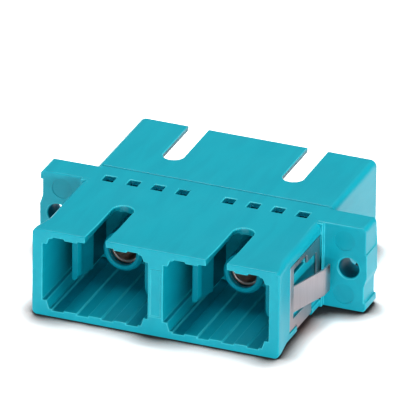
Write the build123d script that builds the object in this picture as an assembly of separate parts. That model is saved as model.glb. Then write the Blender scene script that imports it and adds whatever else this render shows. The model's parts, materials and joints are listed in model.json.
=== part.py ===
# Duplex fibre optic coupler with a two-hole flange, as it comes apart on a bench:
# two moulded housing halves, four latch inserts, two split bronze alignment sleeves
# and one spring clip of folded stainless strip.
#
# Frame: +X along the flange, +Y from the clip end to the far end, +Z up.
# The origin is at mid length, on the centre line, on the plane it rests on.
# A depth is measured from the front mouth towards +Y.

from build123d import *
import os

# Driving dimensions in millimetres

# Both housing halves
PORT_PITCH = 12.7
HOUSING_LENGTH = 27.4
BODY_WIDTH = 25.24
BODY_HEIGHT = 9.1
BODY_TOP_RADIUS = 0.7
BODY_BOTTOM_RADIUS = 0.3
SEAM_DEPTH = 15.88
SEAM_CHAMFER = 0.08

# Collar round the front mouth
RIM_WIDTH = 25.98
RIM_HEIGHT = 9.34
RIM_RADIUS = 0.52
RIM_LENGTH = 0.8
RIM_TAPER_LENGTH = 2.4
RIM_EDGE_RADIUS = 0.12

# Ports
PORT_WIDTH = 11.1
PORT_HEIGHT = 7.62
GROOVE_WIDTH = 1.2
GROOVE_PITCH = 2.6
GROOVES_PER_PORT = 4
GROOVE_DEPTH = 0.18
GUIDE_WIDTH = 0.45
GUIDE_SLANT = 0.25
LOWER_GUIDE_HEIGHT = 0.87
UPPER_GUIDE_HEIGHT = 0.64
KEY_SLOT_WIDTH = 2.2
FRONT_KEY_SLOT_LENGTH = 8.3
REAR_KEY_SLOT_LENGTH = 7.8
WINDOW_LENGTH = 1.2
WINDOW_DEPTH = 12.68
DIVIDER_PANEL_WIDTH = 1.1
DIVIDER_PANEL_HEIGHT = 5.1
DIVIDER_PANEL_SINK = 0.1

# Flange
FLANGE_DEPTH = 12.5
FLANGE_THICKNESS = 2.92
FLANGE_SPAN = 34.6
FLANGE_HEAD_INSET = 0.13
FLANGE_NOTCH_INSET = 0.28
FLANGE_FOOT_INSET = 0.05
FLANGE_FOOT_HEIGHT = 1.0
FLANGE_NOTCH_TOP = 2.7
FLANGE_BULGE_BOTTOM = 3.8
FLANGE_BULGE_TOP = 6.3
FLANGE_HEAD_RADIUS = 0.5
FLANGE_FOOT_CHAMFER = 0.3
FLANGE_EDGE_RADIUS = 0.12
SCREW_HOLE_RADIUS = 1.05
SCREW_HOLE_TO_END = 1.9
SCREW_HOLE_CHAMFER = 0.12
EJECTOR_RADIUS = 1.07
EJECTOR_TO_END = 2.35
EJECTOR_RISE = 2.9
EJECTOR_SINK = 0.05
ROOT_BAR_LENGTH = 0.45
ROOT_BAR_WIDTH = 0.18

# Spring clip
CLIP_THICKNESS = 0.2
CLIP_SINK = 0.07
CLIP_BEND_RADIUS = 0.5
CLIP_DEPTH = 4.1
CLIP_LENGTH = 7.9
CLIP_BOTTOM = 1.0
CLIP_TOP = 7.95
CLIP_FRONT_MEMBER = 0.9
CLIP_REAR_MEMBER = 0.9
CLIP_LOWER_BAND = 1.05
CLIP_UPPER_BAND = 1.4
CLIP_SLOT_LENGTH = 3.5
CLIP_SLOT_HEIGHT = 0.85
CLIP_TAIL_BOTTOM = 2.9
STRAP_DEPTH = 6.0
STRAP_WIDTH = 3.9
TONGUE_HEIGHT = 2.85
TONGUE_AXIS_HEIGHT = 4.15
TONGUE_FLARE = 1.45
TONGUE_FLARE_LENGTH = 4.7
TONGUE_LIP_LENGTH = 1.35
TONGUE_LIP_FLARE = 0.05
RECESS_GAP = 0.03
RECESS_MARGIN = 0.15
STRAP_MARGIN = 0.1

# Latch inserts
PLATE_THICKNESS = 1.2
PLATE_CLEARANCE = 0.05
BARREL_RADIUS = 2.1
BARREL_CHAMFER = 0.3
BARREL_COLLAR = 0.4
LIP_THICKNESS = 0.5
LIP_RADIUS = 1.45
LIP_CHAMFER = 0.1
LATCH_DEPTH = 4.3
LATCH_OUTER = 4.35
LATCH_NOSE_OUTER = 4.15
LATCH_NOSE_INNER = 3.57
LATCH_TIP = 3.38
LATCH_INNER = 3.5
LATCH_NECK = 3.85
LATCH_LEAD_LENGTH = 0.4
LATCH_TIP_LENGTH = 0.35
LATCH_NOSE_LENGTH = 1.1
LATCH_PAD_END = 8.3
LATCH_NOSE_HEIGHT = 4.95
LATCH_ROOT_HEIGHT = 6.2
LATCH_NOSE_BEVEL = 0.6
LATCH_ROOT_BEVEL = 0.1
LATCH_BEVEL_WIDTH = 0.25

# Alignment sleeves
FERRULE_RADIUS = 1.25
SLEEVE_WALL = 0.35
SLEEVE_LENGTH = 11.4
SLEEVE_SLIT = 0.5
SLEEVE_CHAMFER = 0.08
SLEEVE_CLEARANCE = 0.05
SLEEVE_END_PLAY = 0.4

# Places that follow from the sizes above
MOUTH_Y = -HOUSING_LENGTH / 2
MID_DEPTH = HOUSING_LENGTH / 2
AXIS_HEIGHT = RIM_HEIGHT / 2
BODY_BOTTOM = AXIS_HEIGHT - BODY_HEIGHT / 2
BODY_TOP = AXIS_HEIGHT + BODY_HEIGHT / 2
BODY_SIDE = BODY_WIDTH / 2
PORT_SIDES = (-1, 1)
GROOVE_PLACES = [(i - (GROOVES_PER_PORT - 1) / 2) * GROOVE_PITCH for i in range(GROOVES_PER_PORT)]
PLATE_FRONT = MID_DEPTH - PLATE_THICKNESS
PLATE_REAR = MID_DEPTH + PLATE_THICKNESS
CLIP_SIDE = BODY_SIDE - CLIP_SINK
CLIP_UNDERSIDE = BODY_BOTTOM + CLIP_SINK / 2
RECESS_FLOOR = CLIP_SIDE - CLIP_THICKNESS - RECESS_GAP
FLANGE_REAR = FLANGE_DEPTH + FLANGE_THICKNESS
HOLE_SIDE = FLANGE_SPAN / 2 - SCREW_HOLE_TO_END
EJECTOR_SIDE = FLANGE_SPAN / 2 - EJECTOR_TO_END
SLEEVE_BORE = FERRULE_RADIUS + SLEEVE_WALL + SLEEVE_CLEARANCE
BARREL_DEPTH = MID_DEPTH - SLEEVE_LENGTH / 2 - SLEEVE_END_PLAY - LIP_THICKNESS


def section_plane(depth):
    """Upright plane across the coupler: local x is X, local y is height above the port axes."""
    return Plane(origin=(0, MOUTH_Y + depth, AXIS_HEIGHT), x_dir=(1, 0, 0), z_dir=(0, -1, 0))


def side_plane(x):
    """Upright plane along the coupler: local x is depth, local y is height above the rest plane."""
    return Plane(origin=(x, MOUTH_Y, 0), x_dir=(0, 1, 0), z_dir=(1, 0, 0))


def plan_plane(height):
    """Level plane: local x is X and local y is depth."""
    return Plane(origin=(0, MOUTH_Y, height), x_dir=(1, 0, 0), z_dir=(0, 0, 1))


def run(profile, start, end):
    """A profile of the section plane, carried from one depth to another."""
    return extrude(section_plane(end) * profile, amount=end - start)


def rounded_section(width, height, top_radius, bottom_radius):
    """Outer section of the housing, with its own radius above and below."""
    profile = Rectangle(width, height)
    profile = fillet(profile.vertices().group_by(Axis.Y)[-1], top_radius)
    return fillet(profile.vertices().group_by(Axis.Y)[0], bottom_radius)


def body_section():
    return rounded_section(BODY_WIDTH, BODY_HEIGHT, BODY_TOP_RADIUS, BODY_BOTTOM_RADIUS)


def port_section(shrink=0):
    """Plain rectangle of both ports; a shrink leaves a clearance inside it."""
    port = Rectangle(PORT_WIDTH - 2 * shrink, PORT_HEIGHT - 2 * shrink)
    return Sketch() + [Pos(side * PORT_PITCH / 2, 0) * port for side in PORT_SIDES]


def groove_section():
    """Shallow lengthwise grooves in the floor and ceiling of both ports."""
    groove = Rectangle(GROOVE_WIDTH, PORT_HEIGHT + 2 * GROOVE_DEPTH)
    places = [side * PORT_PITCH / 2 + x for side in PORT_SIDES for x in GROOVE_PLACES]
    return Sketch() + [Pos(x, 0) * groove for x in places]


def guide_section():
    """Guide ribs with a slanted inner side, one in each corner of both ports."""
    half_w, half_h = PORT_WIDTH / 2, PORT_HEIGHT / 2
    foot = GUIDE_WIDTH + GUIDE_SLANT
    guides = Sketch()
    for side in PORT_SIDES:
        for hand in (-1, 1):
            for base, height in ((-half_h, LOWER_GUIDE_HEIGHT), (half_h, -UPPER_GUIDE_HEIGHT)):
                corners = [
                    (half_w, base),
                    (half_w - foot, base),
                    (half_w - GUIDE_WIDTH, base + height),
                    (half_w, base + height),
                ]
                points = [(side * PORT_PITCH / 2 + hand * x, z) for x, z in corners]
                guides += make_face(Polyline(*points, close=True))
    return guides


def key_slots(mouth, inner):
    """Open slots in the top wall for the plug's key, with a full round at the inner end."""
    radius = KEY_SLOT_WIDTH / 2
    away = 1 if inner > mouth else -1
    centre = inner - away * radius
    open_end = mouth - away
    slot = Pos(0, (open_end + centre) / 2) * Rectangle(KEY_SLOT_WIDTH, abs(centre - open_end))
    slot += Pos(0, centre) * Circle(radius)
    slots = Sketch() + [Pos(side * PORT_PITCH / 2, 0) * slot for side in PORT_SIDES]
    return extrude(plan_plane(AXIS_HEIGHT + PORT_HEIGHT / 4) * slots, amount=RIM_HEIGHT)


def flange_section():
    """Flange outline: one end drawn, the other is the same turned half a turn."""
    bulge = FLANGE_SPAN / 2
    head = bulge - FLANGE_HEAD_INSET
    notch = bulge - FLANGE_NOTCH_INSET
    foot = bulge - FLANGE_FOOT_INSET
    low = -BODY_HEIGHT / 2
    high = BODY_HEIGHT / 2
    sweep = Spline(
        [(notch, low + FLANGE_NOTCH_TOP), (bulge, low + FLANGE_BULGE_BOTTOM)],
        tangents=[(0, 1), (0, 1)],
    )
    lower = Polyline(
        (0, high),
        (0, low),
        (foot - FLANGE_FOOT_CHAMFER, low),
        (foot, low + FLANGE_FOOT_CHAMFER),
        (foot, low + FLANGE_FOOT_HEIGHT),
        (notch, low + FLANGE_FOOT_HEIGHT),
        sweep @ 0,
    )
    corner_start = (head, high - FLANGE_HEAD_RADIUS)
    upper = Polyline(
        sweep @ 1,
        (bulge, low + FLANGE_BULGE_TOP),
        (head, low + FLANGE_BULGE_TOP),
        corner_start,
    )
    corner_end = (head - FLANGE_HEAD_RADIUS, high)
    corner = RadiusArc(corner_start, corner_end, -FLANGE_HEAD_RADIUS)
    top = Line(corner @ 1, (0, high))
    end = make_face(Curve() + [lower, sweep, upper, corner, top])
    return Sketch() + [end, Rot(Z=180) * end]


def flange():
    """Plate with rounded long edges, two screw holes and the round marks of the ejector pins."""
    plate = run(flange_section(), FLANGE_DEPTH, FLANGE_REAR)
    long_edges = plate.edges().filter_by(Axis.X).filter_by(lambda edge: edge.length > FLANGE_SPAN / 2)
    plate = fillet(long_edges.group_by(Axis.Y)[0], FLANGE_EDGE_RADIUS)
    for side in PORT_SIDES:
        centre = Pos(side * HOLE_SIDE, 0)
        plate -= run(centre * Circle(SCREW_HOLE_RADIUS), FLANGE_DEPTH - 1, FLANGE_REAR + 1)
        wide = section_plane(FLANGE_DEPTH) * centre * Circle(SCREW_HOLE_RADIUS + SCREW_HOLE_CHAMFER)
        narrow = section_plane(FLANGE_DEPTH + SCREW_HOLE_CHAMFER) * centre * Circle(SCREW_HOLE_RADIUS)
        plate -= loft([wide.face(), narrow.face()])
        for rise in (-EJECTOR_RISE, EJECTOR_RISE):
            mark = Pos(side * EJECTOR_SIDE, rise) * Circle(EJECTOR_RADIUS)
            plate -= run(mark, FLANGE_DEPTH, FLANGE_DEPTH + EJECTOR_SINK)
    return plate


def clip_recess():
    """Pocket for the clip in both sides, and the groove for its strap under the body."""
    front = CLIP_DEPTH - RECESS_MARGIN
    rear = FLANGE_DEPTH - ROOT_BAR_LENGTH
    bottom = CLIP_BOTTOM - RECESS_MARGIN
    top = CLIP_TOP + RECESS_MARGIN
    pocket = Pos((front + rear) / 2, (bottom + top) / 2) * Rectangle(rear - front, top - bottom)
    cut = extrude(side_plane(RECESS_FLOOR) * pocket, amount=RIM_WIDTH)
    cut += mirror(cut, about=Plane.YZ)
    groove_top = CLIP_UNDERSIDE + CLIP_THICKNESS + RECESS_GAP
    outside = Pos(0, -BODY_HEIGHT) * Rectangle(2 * BODY_WIDTH, 2 * BODY_HEIGHT)
    core_height = 2 * (AXIS_HEIGHT - groove_top)
    core = RectangleRounded(2 * RECESS_FLOOR, core_height, CLIP_BEND_RADIUS - CLIP_THICKNESS)
    cut += run(outside - core, STRAP_DEPTH - STRAP_MARGIN, STRAP_DEPTH + STRAP_WIDTH + STRAP_MARGIN)
    slot_front = CLIP_DEPTH + CLIP_FRONT_MEMBER
    slot_low = CLIP_TOP - CLIP_UPPER_BAND
    slot = Pos(slot_front + CLIP_SLOT_LENGTH / 2, slot_low + CLIP_SLOT_HEIGHT / 2)
    slot *= Rectangle(CLIP_SLOT_LENGTH, CLIP_SLOT_HEIGHT)
    through = extrude(side_plane(PORT_PITCH / 2 + PORT_WIDTH / 4) * slot, amount=BODY_WIDTH)
    return cut + through + mirror(through, about=Plane.YZ)


def front_housing():
    """Front half: collar, ports, flange, clip pocket and the chamber for the inserts."""
    shell = run(body_section(), 0, SEAM_DEPTH)
    seam_edges = shell.faces().sort_by(Axis.Y)[-1].edges()
    shell = chamfer(seam_edges, SEAM_CHAMFER)
    rim_section = rounded_section(RIM_WIDTH, RIM_HEIGHT, RIM_RADIUS, RIM_RADIUS)
    rim = run(rim_section, 0, RIM_LENGTH)
    rim = fillet(rim.faces().sort_by(Axis.Y)[0].edges(), RIM_EDGE_RADIUS)
    taper_start = section_plane(RIM_LENGTH) * rim_section
    taper_end = section_plane(RIM_LENGTH + RIM_TAPER_LENGTH) * body_section()
    shell += [rim, loft([taper_start.face(), taper_end.face()]), flange()]
    bar = Rectangle(BODY_WIDTH + 2 * ROOT_BAR_WIDTH, BODY_HEIGHT)
    shell += run(bar, FLANGE_DEPTH - ROOT_BAR_LENGTH, FLANGE_DEPTH)
    shell -= clip_recess()
    shell -= run(port_section(), -1, SEAM_DEPTH + 1)
    shell -= run(groove_section(), -1, SEAM_DEPTH + 1)
    shell += run(guide_section(), 0, PLATE_FRONT)
    shell -= key_slots(0, FRONT_KEY_SLOT_LENGTH)
    window = Rectangle(GROOVE_WIDTH, WINDOW_LENGTH)
    places = [side * PORT_PITCH / 2 + x for side in PORT_SIDES for x in GROOVE_PLACES]
    windows = Sketch() + [Pos(x, WINDOW_DEPTH + WINDOW_LENGTH / 2) * window for x in places]
    shell -= extrude(plan_plane(AXIS_HEIGHT + PORT_HEIGHT / 4) * windows, amount=RIM_HEIGHT)
    panel = Rectangle(DIVIDER_PANEL_WIDTH, DIVIDER_PANEL_HEIGHT)
    shell -= run(panel, 0, DIVIDER_PANEL_SINK)
    return shell


def rear_housing():
    """Rear half: ports, and guide ribs that reach past the seam to clamp the inserts."""
    shell = run(body_section(), SEAM_DEPTH, HOUSING_LENGTH)
    shell = chamfer(shell.faces().sort_by(Axis.Y)[0].edges(), SEAM_CHAMFER)
    shell = fillet(shell.faces().sort_by(Axis.Y)[-1].edges(), RIM_EDGE_RADIUS)
    shell -= run(port_section(), SEAM_DEPTH - 1, HOUSING_LENGTH + 1)
    shell -= run(groove_section(), SEAM_DEPTH - 1, HOUSING_LENGTH + 1)
    guides = guide_section()
    shell += run(guides, SEAM_DEPTH, HOUSING_LENGTH)
    shell += run(guides & port_section(PLATE_CLEARANCE), PLATE_REAR, HOUSING_LENGTH)
    shell -= key_slots(HOUSING_LENGTH, HOUSING_LENGTH - REAR_KEY_SLOT_LENGTH)
    return shell


def latch_outline(nose_height, root_height):
    """Side view of an arm, which tapers towards its nose."""
    nose, root = nose_height / 2, root_height / 2
    corners = Polyline(
        (LATCH_DEPTH, AXIS_HEIGHT - nose),
        (LATCH_PAD_END, AXIS_HEIGHT - root),
        (MID_DEPTH, AXIS_HEIGHT - root),
        (MID_DEPTH, AXIS_HEIGHT + root),
        (LATCH_PAD_END, AXIS_HEIGHT + root),
        (LATCH_DEPTH, AXIS_HEIGHT + nose),
        close=True,
    )
    return make_face(corners)


def latch_arm():
    """One springy arm: a hooked head with bevelled inner edges, and a thin neck where it bends."""
    lead_end = LATCH_DEPTH + LATCH_LEAD_LENGTH
    tip_end = lead_end + LATCH_TIP_LENGTH
    neck_drop = LATCH_NECK - LATCH_INNER
    plan = Polyline(
        (LATCH_NOSE_OUTER, LATCH_DEPTH),
        (LATCH_NOSE_INNER, LATCH_DEPTH),
        (LATCH_TIP, lead_end),
        (LATCH_TIP, tip_end),
        (LATCH_INNER, tip_end),
        (LATCH_INNER, LATCH_PAD_END),
        (LATCH_NECK, LATCH_PAD_END + neck_drop),
        (LATCH_NECK, MID_DEPTH),
        (LATCH_OUTER, MID_DEPTH),
        (LATCH_OUTER, LATCH_DEPTH + LATCH_NOSE_LENGTH),
        close=True,
    )
    arm = extrude(plan_plane(0) * make_face(plan), amount=RIM_HEIGHT)
    outer = latch_outline(LATCH_NOSE_HEIGHT, LATCH_ROOT_HEIGHT)
    inner = latch_outline(LATCH_NOSE_HEIGHT - 2 * LATCH_NOSE_BEVEL, LATCH_ROOT_HEIGHT - 2 * LATCH_ROOT_BEVEL)
    bevel_end = LATCH_INNER + LATCH_BEVEL_WIDTH
    head = extrude(side_plane(0) * inner, amount=LATCH_INNER)
    head += loft([side_plane(LATCH_INNER) * inner, side_plane(bevel_end) * outer], ruled=True)
    head += extrude(side_plane(bevel_end) * outer, amount=PORT_WIDTH)
    return arm & head


def barrel():
    """Half of the holder round the sleeve, turned about the port axis, with a lip in front."""
    profile = Polyline(
        (SLEEVE_BORE, MID_DEPTH),
        (SLEEVE_BORE, BARREL_DEPTH + LIP_THICKNESS),
        (LIP_RADIUS, BARREL_DEPTH + LIP_THICKNESS),
        (LIP_RADIUS, BARREL_DEPTH + LIP_CHAMFER),
        (LIP_RADIUS + LIP_CHAMFER, BARREL_DEPTH),
        (BARREL_RADIUS - BARREL_CHAMFER, BARREL_DEPTH),
        (BARREL_RADIUS, BARREL_DEPTH + BARREL_CHAMFER),
        (BARREL_RADIUS, PLATE_FRONT - BARREL_COLLAR),
        (BARREL_RADIUS + BARREL_COLLAR, PLATE_FRONT),
        (BARREL_RADIUS + BARREL_COLLAR, MID_DEPTH),
        close=True,
    )
    axis = Axis((0, 0, AXIS_HEIGHT), (0, 1, 0))
    return revolve(plan_plane(AXIS_HEIGHT) * make_face(profile), axis=axis)


def latch_insert():
    """Insert of a front port, on the centre line: plate, half barrel and two latch arms."""
    plate = Rectangle(PORT_WIDTH - 2 * PLATE_CLEARANCE, PORT_HEIGHT - 2 * PLATE_CLEARANCE)
    insert = run(plate - Circle(BARREL_RADIUS), PLATE_FRONT, MID_DEPTH)
    arm = latch_arm()
    return insert + barrel() + arm + mirror(arm, about=Plane.YZ)


def alignment_sleeve():
    """Split bronze tube that lines up the two ferrules, with its slit upwards."""
    start = MID_DEPTH - SLEEVE_LENGTH / 2
    end = MID_DEPTH + SLEEVE_LENGTH / 2
    ring = Circle(FERRULE_RADIUS + SLEEVE_WALL) - Circle(FERRULE_RADIUS)
    tube = run(ring, start, end)
    rims = tube.edges().filter_by(GeomType.CIRCLE)
    tube = chamfer(rims, SLEEVE_CHAMFER)
    slit = Pos(0, FERRULE_RADIUS) * Rectangle(SLEEVE_SLIT, 2 * FERRULE_RADIUS)
    return tube - run(slit, start - 1, end + 1)


def clip_tongue():
    """Panel spring: flares out of the window, then ends in a short lip beside the flange."""
    root = CLIP_DEPTH + CLIP_FRONT_MEMBER
    flare_x = CLIP_SIDE + TONGUE_FLARE
    flare_end = root + TONGUE_FLARE_LENGTH
    path = Polyline(
        (CLIP_SIDE, root - CLIP_FRONT_MEMBER / 2),
        (CLIP_SIDE, root),
        (flare_x, flare_end),
        (flare_x + TONGUE_LIP_FLARE, flare_end + TONGUE_LIP_LENGTH),
    )
    strip = offset(path, amount=CLIP_THICKNESS, side=Side.LEFT, kind=Kind.INTERSECTION)
    underside = TONGUE_AXIS_HEIGHT - TONGUE_HEIGHT / 2
    return extrude(plan_plane(underside) * make_face(strip), amount=TONGUE_HEIGHT)


def spring_clip():
    """One strip of stainless steel folded to a U, then its windows and tongues."""
    inner_bend = CLIP_BEND_RADIUS - CLIP_THICKNESS
    outer_height = 2 * (CLIP_TOP - CLIP_UNDERSIDE)
    outer = RectangleRounded(2 * CLIP_SIDE, outer_height, CLIP_BEND_RADIUS)
    inner_height = outer_height - 2 * CLIP_THICKNESS
    inner = RectangleRounded(2 * (CLIP_SIDE - CLIP_THICKNESS), inner_height, inner_bend)
    lower_half = Pos(0, -outer_height / 4) * Rectangle(BODY_WIDTH, outer_height / 2)
    rise = CLIP_TOP - AXIS_HEIGHT
    profile = Pos(0, rise) * ((outer - inner) & lower_half)
    clip = run(profile, CLIP_DEPTH, CLIP_DEPTH + CLIP_LENGTH)
    clip_end = CLIP_DEPTH + CLIP_LENGTH
    root = CLIP_DEPTH + CLIP_FRONT_MEMBER
    window_end = clip_end - CLIP_REAR_MEMBER
    window_low = CLIP_BOTTOM + CLIP_LOWER_BAND
    window_high = CLIP_TOP - CLIP_UPPER_BAND
    strap_end = STRAP_DEPTH + STRAP_WIDTH
    cuts = [
        (CLIP_DEPTH - 1, STRAP_DEPTH, -1, CLIP_BOTTOM),
        (strap_end, clip_end + 1, -1, CLIP_TAIL_BOTTOM),
        (root, window_end, window_low, window_high),
        (root, root + CLIP_SLOT_LENGTH, window_low, window_high + CLIP_SLOT_HEIGHT),
    ]
    for start, end, low, high in cuts:
        hole = Pos((start + end) / 2, (low + high) / 2) * Rectangle(end - start, high - low)
        clip -= extrude(side_plane(-BODY_WIDTH) * hole, amount=2 * BODY_WIDTH)
    tongue = clip_tongue()
    return clip + tongue + mirror(tongue, about=Plane.YZ)


def turned_round(shape):
    """The same shape at the other end of the coupler."""
    return Rot(Z=180) * shape


os.makedirs("parts", exist_ok=True)

insert = latch_insert()
sleeve = alignment_sleeve()
nodes = {
    "front_housing": front_housing(),
    "rear_housing": rear_housing(),
    "spring_clip": spring_clip(),
}
for side, name in ((-1, "left"), (1, "right")):
    place = Pos(side * PORT_PITCH / 2, 0, 0)
    nodes["latch_insert_front_" + name] = place * insert
    nodes["latch_insert_rear_" + name] = place * turned_round(insert)
    nodes["alignment_sleeve_" + name] = place * sleeve

for name, shape in nodes.items():
    export_step(shape, "parts/" + name + ".step")
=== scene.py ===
import json
import math

import bpy
from mathutils import Matrix, Vector


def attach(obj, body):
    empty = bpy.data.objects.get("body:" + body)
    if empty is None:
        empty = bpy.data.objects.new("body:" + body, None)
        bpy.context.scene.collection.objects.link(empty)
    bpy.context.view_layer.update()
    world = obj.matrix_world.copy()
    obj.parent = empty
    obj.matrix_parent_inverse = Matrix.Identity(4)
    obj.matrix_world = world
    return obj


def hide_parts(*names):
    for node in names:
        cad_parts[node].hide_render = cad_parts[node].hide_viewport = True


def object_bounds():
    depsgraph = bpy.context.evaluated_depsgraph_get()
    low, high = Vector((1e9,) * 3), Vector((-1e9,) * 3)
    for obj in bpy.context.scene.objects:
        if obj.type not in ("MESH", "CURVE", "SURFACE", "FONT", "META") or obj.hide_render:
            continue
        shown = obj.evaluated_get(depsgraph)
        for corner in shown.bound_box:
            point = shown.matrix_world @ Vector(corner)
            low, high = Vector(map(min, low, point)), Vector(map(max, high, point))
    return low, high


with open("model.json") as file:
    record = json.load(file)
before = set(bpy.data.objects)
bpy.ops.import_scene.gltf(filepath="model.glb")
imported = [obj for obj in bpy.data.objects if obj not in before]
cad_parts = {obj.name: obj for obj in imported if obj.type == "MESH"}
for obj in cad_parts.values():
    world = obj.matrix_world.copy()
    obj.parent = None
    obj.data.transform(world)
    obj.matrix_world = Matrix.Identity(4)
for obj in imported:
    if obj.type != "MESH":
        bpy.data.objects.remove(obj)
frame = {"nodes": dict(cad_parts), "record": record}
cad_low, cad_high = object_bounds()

# The seamless paper sheet under the coupler: matt white stock. The camera sees it over-exposed,
# and a tight, dark contact shadow is painted into its colour where the coupler touches it.
MM = 0.001
SHEET_SIZE = 6.0

# The white of the paper as the lamps' light meets it and as the camera sees it, and how much of
# the step between them gloss and glass see.
SHEET_WHITE = 0.9
SHEET_OVEREXPOSED = 1.8
GLOSS_SHARE = 0.4

# How wide the painted contact shadow is, how much it favours the front, and the painted shade of
# the
# paper by how open it lies to the room: nearly black in the corner under an edge, and white from 1.
CONTACT_WIDTH = 2.9 * MM
CONTACT_LEAN = 0.2
PAINTED_SHADOW_TONES = {0.5: "#38302f", 0.57: "#5d4d4b", 0.7: "#afa6a4", 0.86: "#d0cbca"}

# The sockets of a Mix node for colours, by their places in its lists.
MIX_FACTOR = 0
MIX_A = 6
MIX_B = 7
MIX_RESULT = 2


def srgb(hex_colour):
    """A hex colour as linear RGBA."""
    channels = [int(hex_colour[i:i + 2], 16) / 255 for i in (1, 3, 5)]
    linear = [c / 12.92 if c <= 0.04045 else ((c + 0.055) / 1.055) ** 2.4 for c in channels]
    return (*linear, 1.0)


def add_node(tree, kind, settings=None, inputs=None, links=None):
    """One shader node with its settings, socket values and incoming links."""
    node = tree.nodes.new(kind)
    for name, value in (settings or {}).items():
        setattr(node, name, value)
    for name, value in (inputs or {}).items():
        node.inputs[name].default_value = value
    for name, source in (links or {}).items():
        tree.links.new(source, node.inputs[name])
    return node


def new_material(name):
    """An empty node material with its tree and its output."""
    material = bpy.data.materials.new(name)
    material.use_nodes = True
    material.node_tree.nodes.clear()
    output = material.node_tree.nodes.new("ShaderNodeOutputMaterial")
    return material, material.node_tree, output


bpy.ops.object.select_all(action="DESELECT")
bpy.ops.mesh.primitive_plane_add(size=SHEET_SIZE, location=(0, 0, 0))
sheet = bpy.context.object
sheet.name = "paper_sheet"

sheet_material, tree, output = new_material("seamless_paper")
light_path = add_node(tree, "ShaderNodeLightPath")
seen_in_gloss_or_glass = add_node(
    tree,
    "ShaderNodeMath",
    {"operation": "ADD"},
    links={0: light_path.outputs["Is Glossy Ray"], 1: light_path.outputs["Is Transmission Ray"]},
)
seen = add_node(
    tree,
    "ShaderNodeMath",
    {"operation": "MULTIPLY_ADD"},
    inputs={1: GLOSS_SHARE},
    links={0: seen_in_gloss_or_glass.outputs[0], 2: light_path.outputs["Is Camera Ray"]},
)
# The direction comes in by a link, because one typed on the socket has no effect.
contact_lean = add_node(tree, "ShaderNodeCombineXYZ", inputs={"Y": CONTACT_LEAN, "Z": 1.0})
contact = add_node(
    tree,
    "ShaderNodeAmbientOcclusion",
    {"samples": 16},
    inputs={"Distance": CONTACT_WIDTH},
    links={"Normal": contact_lean.outputs[0]},
)
# The occlusion is turned into a painted shadow on the paper's colour.
painted_contact_shadow = add_node(tree, "ShaderNodeValToRGB", links={"Fac": contact.outputs["AO"]})
shadow_stops = painted_contact_shadow.color_ramp.elements
for openness, tone in PAINTED_SHADOW_TONES.items():
    shadow_stops.new(openness).color = srgb(tone)
shadow_stops.remove(shadow_stops[0])
camera_sees_painted_shadow = add_node(
    tree,
    "ShaderNodeMix",
    {"data_type": "RGBA"},
    inputs={MIX_A: srgb("#ffffff")},
    links={
        MIX_FACTOR: light_path.outputs["Is Camera Ray"],
        MIX_B: painted_contact_shadow.outputs["Color"],
    },
)
exposure = add_node(
    tree,
    "ShaderNodeMapRange",
    inputs={"To Min": SHEET_WHITE, "To Max": SHEET_OVEREXPOSED},
    links={"Value": seen.outputs[0]},
)
sheet_colour = add_node(
    tree,
    "ShaderNodeVectorMath",
    {"operation": "SCALE"},
    links={0: camera_sees_painted_shadow.outputs[MIX_RESULT], "Scale": exposure.outputs[0]},
)
paper = add_node(tree, "ShaderNodeBsdfDiffuse", links={"Color": sheet_colour.outputs[0]})
tree.links.new(paper.outputs[0], output.inputs["Surface"])
sheet.data.materials.append(sheet_material)

# The studio room: dim walls all round, which the gloss of the plastic picks up as a dark band,
# a wide soft box overhead, a little behind, and low strip boxes to the front and both sides.
ROOM_LEVEL = 0.12
LAMP_DISTANCE = 0.9

world = bpy.data.worlds.new("studio_room")
bpy.context.scene.world = world
world.use_nodes = True
tree = world.node_tree
tree.nodes.clear()
output = tree.nodes.new("ShaderNodeOutputWorld")
room = add_node(
    tree,
    "ShaderNodeBackground",
    inputs={"Color": srgb("#ffffff"), "Strength": ROOM_LEVEL},
)
tree.links.new(room.outputs[0], output.inputs["Surface"])


def add_softbox(name, azimuth, elevation, width, height, power):
    """A diffuser that faces the coupler. Azimuth 0 is in front, positive to the right."""
    a, e = math.radians(azimuth), math.radians(elevation)
    towards = Vector((math.sin(a) * math.cos(e), -math.cos(a) * math.cos(e), math.sin(e)))
    bpy.ops.object.light_add(type="AREA", location=towards * LAMP_DISTANCE)
    lamp = bpy.context.object
    lamp.name = name
    lamp.data.shape = "RECTANGLE"
    lamp.data.size = width
    lamp.data.size_y = height
    lamp.data.energy = power
    lamp.rotation_euler = towards.to_track_quat("Z", "Y").to_euler()


add_softbox("overhead_softbox", azimuth=-165, elevation=74, width=0.7, height=0.7, power=8.0)
add_softbox("front_strip_box", azimuth=18, elevation=4.5, width=0.9, height=0.07, power=3.8)
add_softbox("right_strip_box", azimuth=80, elevation=4.5, width=0.5, height=0.07, power=3.6)
add_softbox("left_strip_box", azimuth=-70, elevation=4.5, width=0.6, height=0.07, power=2.7)

# The camera stands to the front right and above, far back with a long lens, level apart from
# a small roll. Its place comes from a fit to the photograph with the port pitch held at 12.7 mm.
CAMERA_AZIMUTH = math.radians(21.37)
CAMERA_ELEVATION = math.radians(26.25)
CAMERA_ROLL = math.radians(0.68)
CAMERA_DISTANCE = 1.2
CAMERA_TARGET = Vector((-0.08, -0.7, 8.5)) * MM
CAMERA_LENS = 1077.5
CAMERA_SENSOR = 36.0

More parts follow.
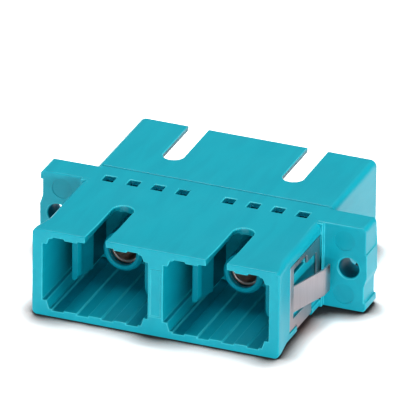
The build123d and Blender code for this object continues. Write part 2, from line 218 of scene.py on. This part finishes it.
back = Vector((
    math.sin(CAMERA_AZIMUTH) * math.cos(CAMERA_ELEVATION),
    -math.cos(CAMERA_AZIMUTH) * math.cos(CAMERA_ELEVATION),
    math.sin(CAMERA_ELEVATION),
))
right = Vector((math.cos(CAMERA_AZIMUTH), math.sin(CAMERA_AZIMUTH), 0))
up = back.cross(right)
rolled_right = math.cos(CAMERA_ROLL) * right + math.sin(CAMERA_ROLL) * up
rolled_up = math.cos(CAMERA_ROLL) * up - math.sin(CAMERA_ROLL) * right
turn = Matrix((rolled_right, rolled_up, back)).transposed()
bpy.ops.object.camera_add(location=CAMERA_TARGET + back * CAMERA_DISTANCE)
camera = bpy.context.object
camera.name = "photo_camera"
camera.rotation_euler = turn.to_euler()
camera.data.lens = CAMERA_LENS
camera.data.sensor_width = CAMERA_SENSOR
camera.data.clip_start = 0.05
camera.data.clip_end = 20.0
bpy.context.scene.camera = camera
bpy.context.scene.view_settings.view_transform = "Standard"

# Housing halves: injection-moulded PBT in aqua, the colour code of the fibre class.
# A fine spark-eroded tool leaves a satin face with a soft sheen, a few faint flow lines
# and a small radius on every edge. The rear half is welded on behind the flange.
MOULD_EDGE_RADIUS = 0.09 * MM
EDGE_SEGMENTS = 2

# A finished piece has the material of its faces first and that of its rounded edges second,
# which on the housing and the inserts is lighter: a painted highlight.
SURFACE_SLOT = 0
EDGE_SLOT = 1

# An edge is rounded where its two faces meet at more than this angle. Their width and its length
# have to be at least these multiples of the radius.
ROUNDED_ANGLE = math.radians(30)
WIDE_ENOUGH = 1.05
LONG_ENOUGH = 1.5

# Limits for joining the loose triangles of a CAD node into flat faces and for shading them.
WELD_DISTANCE = 0.0005 * MM
SLIVER_WIDTH = 0.001 * MM
FLAT_WITHIN = math.radians(0.2)
CREASE_ANGLE = math.radians(50)
LARGE_FACES_LEAD = 100

# The real grain is about 0.03 mm. It is drawn four times as coarse, so that it shows.
SATIN_GLOSS = 0.5
SATIN_GRAIN = 0.13 * MM
SATIN_DEPTH = 0.004 * MM
FLOW_LENGTH = 9.0 * MM
FLOW_WIDTH = 1.6 * MM
SINK_SIZE = 4.0 * MM
SINK_DEPTH = 0.03 * MM


def edges_to_round(mesh, radius):
    """The numbers of the edges that take the radius. Small steps and slivers stay sharp."""
    wide_sides = {}
    for face in mesh.polygons:
        corners = [mesh.vertices[i].co for i in face.vertices]
        for key in face.edge_keys:
            start = mesh.vertices[key[0]].co
            reach = mesh.vertices[key[1]].co - start
            along = reach.normalized()
            width = max((corner - start).cross(along).length for corner in corners)
            if width > WIDE_ENOUGH * radius and reach.length > LONG_ENOUGH * radius:
                wide_sides.setdefault(key, []).append(face.normal.copy())
    numbers = []
    for edge in mesh.edges:
        sides = wide_sides.get(edge.key, [])
        if len(sides) == 2 and sides[0].angle(sides[1]) > ROUNDED_ANGLE:
            numbers.append(edge.index)
    return numbers


def soft_edged_copy(node_name, radius, surface, edge_surface):
    """A copy of a CAD node that stands for it, with rounded edges in their own material, which
    where lighter paints a highlight.
    """
    node = frame["nodes"][node_name]
    piece = bpy.data.objects.new(node_name + "_finished", node.data.copy())
    bpy.context.collection.objects.link(piece)
    bpy.ops.object.select_all(action="DESELECT")
    piece.select_set(True)
    bpy.context.view_layer.objects.active = piece
    bpy.ops.object.mode_set(mode="EDIT")
    bpy.ops.mesh.select_all(action="SELECT")
    bpy.ops.mesh.remove_doubles(threshold=WELD_DISTANCE)
    bpy.ops.mesh.dissolve_limited(angle_limit=FLAT_WITHIN)
    bpy.ops.object.mode_set(mode="OBJECT")
    bpy.ops.mesh.customdata_custom_splitnormals_clear()
    mesh = piece.data
    mesh.materials.clear()
    mesh.materials.append(surface)
    mesh.materials.append(edge_surface)
    mesh.polygons.foreach_set("material_index", [SURFACE_SLOT] * len(mesh.polygons))
    rounded = edges_to_round(mesh, radius)
    weights = mesh.attributes.new("bevel_weight_edge", "FLOAT", "EDGE").data
    for number in rounded:
        weights[number].value = 1.0
    bevel = piece.modifiers.new("edge_radius", "BEVEL")
    bevel.width = radius
    bevel.segments = EDGE_SEGMENTS
    bevel.material = EDGE_SLOT
    bevel.limit_method = "WEIGHT"
    bevel.use_clamp_overlap = False
    bpy.ops.object.modifier_apply(modifier=bevel.name)
    bpy.ops.object.mode_set(mode="EDIT")
    bpy.ops.mesh.select_all(action="SELECT")
    bpy.ops.mesh.dissolve_degenerate(threshold=SLIVER_WIDTH)
    bpy.ops.object.mode_set(mode="OBJECT")
    bpy.ops.object.shade_smooth_by_angle(angle=CREASE_ANGLE)
    flats = piece.modifiers.new("flat_faces_stay_flat", "WEIGHTED_NORMAL")
    flats.weight = LARGE_FACES_LEAD
    flats.keep_sharp = True
    bpy.ops.object.modifier_apply(modifier=flats.name)
    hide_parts(node_name)
    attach(piece, "root")
    return piece


def moulded_aqua(name, deep, light, gloss=SATIN_GLOSS):
    """Satin aqua PBT between two close shades, with grain, flow lines and faint sink marks."""
    material, tree, output = new_material(name)
    place = add_node(tree, "ShaderNodeTexCoord").outputs["Object"]
    flow_place = add_node(
        tree,
        "ShaderNodeMapping",
        inputs={"Scale": (1 / FLOW_WIDTH, 1 / FLOW_LENGTH, 1 / FLOW_WIDTH)},
        links={"Vector": place},
    )
    flow = add_node(
        tree,
        "ShaderNodeTexNoise",
        inputs={"Scale": 1.0, "Detail": 4.0, "Roughness": 0.55, "Distortion": 0.6},
        links={"Vector": flow_place.outputs[0]},
    )
    shade = add_node(
        tree,
        "ShaderNodeMapRange",
        {"interpolation_type": "SMOOTHSTEP"},
        inputs={"From Min": 0.35, "From Max": 0.65},
        links={"Value": flow.outputs[0]},
    )
    colour = add_node(
        tree,
        "ShaderNodeMix",
        {"data_type": "RGBA"},
        inputs={MIX_A: srgb(deep), MIX_B: srgb(light)},
        links={MIX_FACTOR: shade.outputs[0]},
    )
    grain = add_node(
        tree,
        "ShaderNodeTexNoise",
        inputs={"Scale": 1 / SATIN_GRAIN, "Detail": 2.0, "Roughness": 0.6},
        links={"Vector": place},
    )
    sink = add_node(
        tree,
        "ShaderNodeTexNoise",
        inputs={"Scale": 1 / SINK_SIZE, "Detail": 1.0},
        links={"Vector": place},
    )
    waves = add_node(
        tree,
        "ShaderNodeBump",
        inputs={"Strength": 0.5, "Distance": SINK_DEPTH},
        links={"Height": sink.outputs[0]},
    )
    satin = add_node(
        tree,
        "ShaderNodeBump",
        inputs={"Strength": 0.6, "Distance": SATIN_DEPTH},
        links={"Height": grain.outputs[0], "Normal": waves.outputs[0]},
    )
    sheen = add_node(
        tree,
        "ShaderNodeMapRange",
        inputs={"To Min": 0.27, "To Max": 0.39},
        links={"Value": sink.outputs[0]},
    )
    plastic = add_node(
        tree,
        "ShaderNodeBsdfPrincipled",
        inputs={"IOR": 1.4, "Specular IOR Level": gloss},
        links={
            "Base Color": colour.outputs[MIX_RESULT],
            "Roughness": sheen.outputs[0],
            "Normal": satin.outputs[0],
        },
    )
    tree.links.new(plastic.outputs[0], output.inputs["Surface"])
    return material


housing_material = moulded_aqua("moulded_pbt_aqua", "#03abc0", "#05b1c5")
# The edges' lighter aqua is a painted highlight.
housing_edge_highlight_material = moulded_aqua("moulded_pbt_aqua_painted_edge_highlights", "#26bfd0", "#34c9d9")
front_half = soft_edged_copy(
    "front_housing", MOULD_EDGE_RADIUS, housing_material, housing_edge_highlight_material
)
rear_half = soft_edged_copy(
    "rear_housing", MOULD_EDGE_RADIUS, housing_material, housing_edge_highlight_material
)

# Ports and seam: the lighter edges are a painted highlight, so inside the ports, where little light
# reaches, the edges of grooves and ribs keep the tone of their faces, and only those at the mouths
# carry it. The welded seam keeps the tone too, without the painted highlight. It lies where the
# front half ends, as the rear half's tongue reaches in past it.
PORT_OFFSET = 6.35 * MM
PORT_HALF_WIDTH = 5.0 * MM
PORT_FLOOR = 0.9 * MM
PORT_CEILING = 8.5 * MM
LIT_MOUTH_DEPTH = 0.4 * MM
SEAM_REACH = 0.2 * MM
seam_y = max(vertex.co.y for vertex in frame["nodes"]["front_housing"].data.vertices)
for half in (front_half, rear_half):
    for face in half.data.polygons:
        across = abs(abs(face.center.x) - PORT_OFFSET)
        between = PORT_FLOOR < face.center.z < PORT_CEILING
        behind_mouth = abs(face.center.y) < cad_high[1] - LIT_MOUTH_DEPTH
        at_seam = abs(face.center.y - seam_y) < SEAM_REACH
        in_port = across < PORT_HALF_WIDTH and between and behind_mouth
        if in_port or at_seam:
            face.material_index = SURFACE_SLOT

# Screw holes: their walls have a deep tone, a painted shade for the little light that gets in, and
# little gloss. Their rounded rims keep the tone of the flange, without the painted edge highlight.
HOLE_SHADE_SLOT = 2
HOLE_WALL_GLOSS = 0.1
RIM_WIDTH = 1.1 * MOULD_EDGE_RADIUS

# How squarely a face looks along the holes: the flange more than the first, a wall less than the
# second, and the rounded rim between them.
FLANGE_FACING = 0.99
RIM_FACING = 0.3
screw_holes = next(
    mount for mount in frame["record"]["mounts"] if mount["name"] == "screw_holes"
)
axis_height = screw_holes["pos_m"][2]
hole_offset = screw_holes["dims"]["spacing_x_mm"] / 2 * MM
hole_reach = screw_holes["dims"]["hole_r_mm"] * MM + RIM_WIDTH
hole_wall_shade_material = moulded_aqua("moulded_pbt_hole_walls_painted_shade", "#016a80", "#026e83", HOLE_WALL_GLOSS)
front_half.data.materials.append(hole_wall_shade_material)
for face in front_half.data.polygons:
    across = abs(face.center.x) - hole_offset
    inside = math.hypot(across, face.center.z - axis_height) < hole_reach
    facing = abs(face.normal.y)
    if inside and facing < FLANGE_FACING:
        face.material_index = SURFACE_SLOT if facing > RIM_FACING else HOLE_SHADE_SLOT

# Ejector marks: the pins that push the moulding out leave four shallow rounds on the front of the
# flange. Their faces are a shade darker than the face around them.
EJECTOR_SLOT = 3
EJECTOR_MARK_Y = -1.15 * MM
EJECTOR_MARK_WITHIN = 0.01 * MM
EJECTOR_MARKS_BEYOND = 13 * MM
front_half.data.materials.append(
    moulded_aqua("moulded_pbt_ejector_marks", "#01a5ba", "#03abbf")
)
for face in front_half.data.polygons:
    at_mark_depth = abs(face.center.y - EJECTOR_MARK_Y) < EJECTOR_MARK_WITHIN
    on_flange = abs(face.center.x) > EJECTOR_MARKS_BEYOND
    if at_mark_depth and on_flange and face.normal.y < -FLANGE_FACING:
        face.material_index = EJECTOR_SLOT

# Latch inserts: the same plastic in a slightly deeper batch, a base plate with a half barrel and
# two springy arms. Four alike are clamped back to back between the housing halves. Their rounded
# edges are lighter, a painted highlight. The necks behind the pads, the plates and the barrels are
# painted deeper, a painted shade for the dark inside of the ports.
INSERT_EDGE_RADIUS = 0.03 * MM
INSERT_GLOSS = 0.2

# The necks are the upright faces from this depth behind the mouths on.
NECK_SHADE_SLOT = 2
NECK_DEPTH = 8.3 * MM
UPRIGHT = 0.5

# The barrels lie within this distance of a port's axis. The plates face along it.
BARREL_SHADE_SLOT = 3
BARREL_REACH = 2.8 * MM
PLATE_FACING = 0.9
insert_material = moulded_aqua("moulded_pbt_inserts", "#01abc0", "#03b2c6", INSERT_GLOSS)
# The edges' lighter aqua is a painted highlight.
insert_edge_highlight_material = moulded_aqua(
    "moulded_pbt_insert_painted_edge_highlights", "#0aadc0", "#14b5c7", INSERT_GLOSS
)
# The deeper tones of necks, plates and barrels are painted shade for the dark inside of the ports.
neck_shade_material = moulded_aqua("moulded_pbt_insert_necks_painted_shade", "#015a6b", "#015e6f", INSERT_GLOSS)
barrel_shade_material = moulded_aqua("moulded_pbt_barrels_painted_shade", "#0195aa", "#019cb0", INSERT_GLOSS)
for row in ("front", "rear"):
    for side in ("left", "right"):
        insert = soft_edged_copy(
            f"latch_insert_{row}_{side}", INSERT_EDGE_RADIUS, insert_material, insert_edge_highlight_material
        )
        insert.data.materials.append(neck_shade_material)
        insert.data.materials.append(barrel_shade_material)
        for face in insert.data.polygons:
            across = abs(face.center.x) - PORT_OFFSET
            in_barrel = math.hypot(across, face.center.z - axis_height) < BARREL_REACH
            behind_pad = abs(face.center.y) < cad_high[1] - NECK_DEPTH
            if in_barrel or abs(face.normal.y) > PLATE_FACING:
                face.material_index = BARREL_SHADE_SLOT
            elif behind_pad and abs(face.normal.z) < UPRIGHT:
                face.material_index = NECK_SHADE_SLOT

# Alignment sleeves: phosphor bronze strip rolled into a split tube, with a burnished bore. Drawing
# lines run along the tube, wider here than the few hundredths of a millimetre of the real ones.
SLEEVE_EDGE_RADIUS = 0.015 * MM
DRAW_LINE_WIDTH = 0.06 * MM
DRAW_LINE_LENGTH = 2.5 * MM
DRAW_LINE_DEPTH = 0.002 * MM
sleeve_material, tree, output = new_material("rolled_phosphor_bronze")
place = add_node(tree, "ShaderNodeTexCoord").outputs["Object"]
line_place = add_node(
    tree,
    "ShaderNodeMapping",
    inputs={"Scale": (1 / DRAW_LINE_WIDTH, 1 / DRAW_LINE_LENGTH, 1 / DRAW_LINE_WIDTH)},
    links={"Vector": place},
)
lines = add_node(
    tree,
    "ShaderNodeTexNoise",
    inputs={"Scale": 1.0, "Detail": 2.0},
    links={"Vector": line_place.outputs[0]},
)
bronze_colour = add_node(
    tree,
    "ShaderNodeMix",
    {"data_type": "RGBA"},
    inputs={MIX_A: srgb("#b3a39c"), MIX_B: srgb("#cdbfb8")},
    links={MIX_FACTOR: lines.outputs[0]},
)
bronze_lines = add_node(
    tree,
    "ShaderNodeBump",
    inputs={"Strength": 0.5, "Distance": DRAW_LINE_DEPTH},
    links={"Height": lines.outputs[0]},
)
bronze = add_node(
    tree,
    "ShaderNodeBsdfPrincipled",
    inputs={"Metallic": 1.0, "Roughness": 0.34},
    links={
        "Base Color": bronze_colour.outputs[MIX_RESULT],
        "Normal": bronze_lines.outputs[0],
    },
)
tree.links.new(bronze.outputs[0], output.inputs["Surface"])
for side in ("left", "right"):
    sleeve = soft_edged_copy(
        f"alignment_sleeve_{side}", SLEEVE_EDGE_RADIUS, sleeve_material, sleeve_material
    )

# Spring clip: one strip of rolled stainless steel, 0.2 mm thick, blanked and folded to a U.
# The rolling lines run up the sides and across the strap, so they cross the coupler's length.
# They are drawn wider than the real ones, so that they show.
CLIP_EDGE_RADIUS = 0.03 * MM
ROLL_LINE_WIDTH = 0.14 * MM
ROLL_LINE_LENGTH = 6.0 * MM
ROLL_LINE_DEPTH = 0.0015 * MM
clip_material, tree, output = new_material("rolled_stainless_strip")
place = add_node(tree, "ShaderNodeTexCoord").outputs["Object"]
line_place = add_node(
    tree,
    "ShaderNodeMapping",
    inputs={"Scale": (1 / ROLL_LINE_LENGTH, 1 / ROLL_LINE_WIDTH, 1 / ROLL_LINE_LENGTH)},
    links={"Vector": place},
)
lines = add_node(
    tree,
    "ShaderNodeTexNoise",
    inputs={"Scale": 1.0, "Detail": 3.0, "Roughness": 0.6},
    links={"Vector": line_place.outputs[0]},
)
steel_colour = add_node(
    tree,
    "ShaderNodeMix",
    {"data_type": "RGBA"},
    inputs={MIX_A: srgb("#ab9c9f"), MIX_B: srgb("#cfbec1")},
    links={MIX_FACTOR: lines.outputs[0]},
)
steel_lines = add_node(
    tree,
    "ShaderNodeBump",
    inputs={"Strength": 0.2, "Distance": ROLL_LINE_DEPTH},
    links={"Height": lines.outputs[0]},
)
steel_sheen = add_node(
    tree,
    "ShaderNodeMapRange",
    inputs={"To Min": 0.24, "To Max": 0.36},
    links={"Value": lines.outputs[0]},
)
steel = add_node(
    tree,
    "ShaderNodeBsdfPrincipled",
    inputs={"Metallic": 1.0},
    links={
        "Base Color": steel_colour.outputs[MIX_RESULT],
        "Roughness": steel_sheen.outputs[0],
        "Normal": steel_lines.outputs[0],
    },
)
tree.links.new(steel.outputs[0], output.inputs["Surface"])
clip = soft_edged_copy("spring_clip", CLIP_EDGE_RADIUS, clip_material, clip_material)
